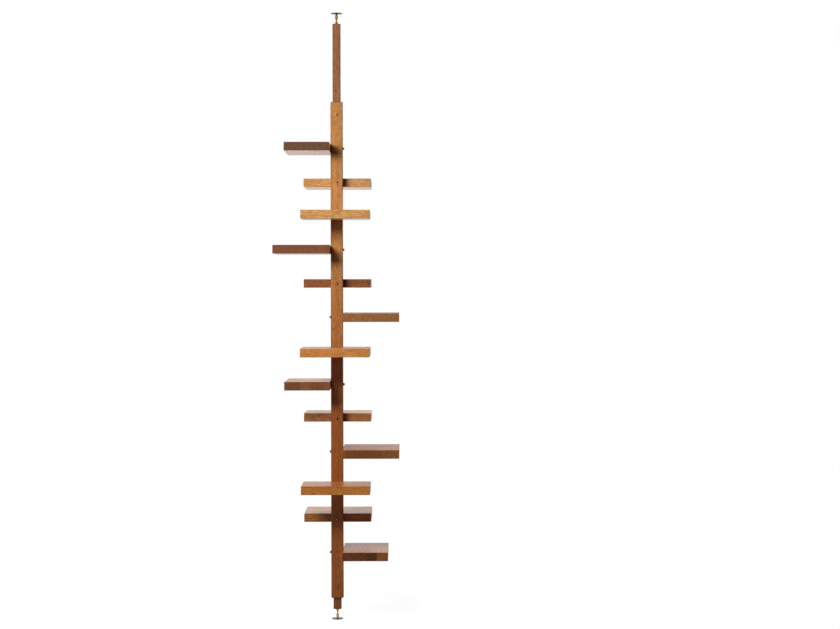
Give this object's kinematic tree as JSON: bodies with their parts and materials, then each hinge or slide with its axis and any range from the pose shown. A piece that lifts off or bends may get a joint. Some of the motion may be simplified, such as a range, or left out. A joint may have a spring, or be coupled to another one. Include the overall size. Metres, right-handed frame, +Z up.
{
  "type": "floor-to-ceiling bookcase",
  "caption": "Floor-to-ceiling bookcase: thick wooden shelves bolted in turn to every side of a square post, braced by telescoping poles with screw jacks at floor and ceiling.",
  "frame": {"origin": "on the floor, at the middle of the floor pad's underside, on the post's axis", "axes": "+Z up along the post; -Y is the front, the face with the open row of index holes in the picture; +X is the right side as seen from the front"},
  "size_m": [0.554, 0.554, 2.7],
  "materials": {
    "post_wood": "oiled golden-brown hardwood, satin",
    "core_wood": "bare hardwood, planed",
    "pole_wood": "oiled reddish-brown hardwood, satin",
    "shelf_wood_01": "oiled hardwood staves, satin",
    "shelf_wood_02": "oiled hardwood staves, satin",
    "shelf_wood_03": "oiled hardwood staves, satin",
    "shelf_wood_04": "oiled hardwood staves, satin",
    "shelf_wood_05": "oiled hardwood staves, satin",
    "shelf_wood_06": "oiled hardwood staves, satin",
    "shelf_wood_07": "oiled hardwood staves, satin",
    "shelf_wood_08": "oiled hardwood staves, satin",
    "shelf_wood_09": "oiled hardwood staves, satin",
    "shelf_wood_10": "oiled hardwood staves, satin",
    "shelf_wood_11": "oiled hardwood staves, satin",
    "shelf_wood_12": "oiled hardwood staves, satin",
    "shelf_wood_13": "oiled hardwood staves, satin",
    "brass": "polished"
  },
  "bodies": {
    "post": {"post_front_board": "post_wood", "post_back_board": "post_wood", "post_left_board": "post_wood", "post_right_board": "post_wood", "post_core": "core_wood", "shelf_01": "shelf_wood_01", "shelf_02": "shelf_wood_02", "shelf_03": "shelf_wood_03", "shelf_04": "shelf_wood_04", "shelf_05": "shelf_wood_05", "shelf_06": "shelf_wood_06", "shelf_07": "shelf_wood_07", "shelf_08": "shelf_wood_08", "shelf_09": "shelf_wood_09", "shelf_10": "shelf_wood_10", "shelf_11": "shelf_wood_11", "shelf_12": "shelf_wood_12", "shelf_13": "shelf_wood_13", "shelf_bolt_01": "brass", "shelf_bolt_02": "brass", "shelf_bolt_03": "brass", "shelf_bolt_04": "brass", "shelf_bolt_05": "brass", "shelf_bolt_06": "brass", "shelf_bolt_07": "brass", "shelf_bolt_08": "brass", "shelf_bolt_09": "brass", "shelf_bolt_10": "brass", "shelf_bolt_11": "brass", "shelf_bolt_12": "brass", "shelf_bolt_13": "brass", "shelf_insert_01": "brass", "shelf_insert_02": "brass", "shelf_insert_03": "brass", "shelf_insert_04": "brass", "shelf_insert_05": "brass", "shelf_insert_06": "brass", "shelf_insert_07": "brass", "shelf_insert_08": "brass", "shelf_insert_09": "brass", "shelf_insert_10": "brass", "shelf_insert_11": "brass", "shelf_insert_12": "brass", "shelf_insert_13": "brass"},
    "upper_pole": {"upper_pole": "pole_wood", "ceiling_ferrule": "brass"},
    "lower_pole": {"lower_pole": "pole_wood", "floor_ferrule": "brass"},
    "ceiling_pad": {"ceiling_pad": "brass"},
    "ceiling_jack_screw": {"ceiling_jack_screw": "brass"},
    "floor_pad": {"floor_pad": "brass"},
    "floor_jack_screw": {"floor_jack_screw": "brass"},
    "upper_front_lock_screw": {"upper_front_lock_screw": "brass"},
    "upper_back_lock_screw": {"upper_back_lock_screw": "brass"},
    "lower_front_lock_screw": {"lower_front_lock_screw": "brass"},
    "lower_back_lock_screw": {"lower_back_lock_screw": "brass"}
  },
  "joints": [
    {"name": "upper_pole_slide", "type": "slide", "parent": "post", "child": "upper_pole", "axis": [0, 0, 1], "range_m": [-0.105, 0]},
    {"name": "lower_pole_slide", "type": "slide", "parent": "post", "child": "lower_pole", "axis": [0, 0, -1], "range_m": [0, 0.105]},
    {"name": "ceiling_pad_slide", "type": "slide", "parent": "upper_pole", "child": "ceiling_pad", "axis": [0, 0, 1], "range_m": [-0.005, 0.02]},
    {"name": "ceiling_jack_turn", "type": "hinge", "parent": "ceiling_pad", "child": "ceiling_jack_screw", "pos_m": [0, 0, 2.651], "axis": [0, 0, 1], "range_deg": [-1440, 5760]},
    {"name": "floor_pad_slide", "type": "slide", "parent": "lower_pole", "child": "floor_pad", "axis": [0, 0, -1], "range_m": [-0.008, 0.02]},
    {"name": "floor_jack_turn", "type": "hinge", "parent": "floor_pad", "child": "floor_jack_screw", "pos_m": [0, 0, 0.0465], "axis": [0, 0, -1], "range_deg": [-2304, 5760]},
    {"name": "upper_front_lock_screw_drive", "type": "slide", "parent": "post", "child": "upper_front_lock_screw", "axis": [0, 1, 0], "range_m": [0, 0.003]},
    {"name": "upper_back_lock_screw_drive", "type": "slide", "parent": "post", "child": "upper_back_lock_screw", "axis": [0, -1, 0], "range_m": [0, 0.003]},
    {"name": "lower_front_lock_screw_drive", "type": "slide", "parent": "post", "child": "lower_front_lock_screw", "axis": [0, 1, 0], "range_m": [0, 0.003]},
    {"name": "lower_back_lock_screw_drive", "type": "slide", "parent": "post", "child": "lower_back_lock_screw", "axis": [0, -1, 0], "range_m": [0, 0.003]}
  ],
  "couplings": [
    {"joint": "ceiling_jack_turn", "follows": "ceiling_pad_slide", "rad_per_m": 5026.5},
    {"joint": "floor_jack_turn", "follows": "floor_pad_slide", "rad_per_m": 5026.5}
  ]
}
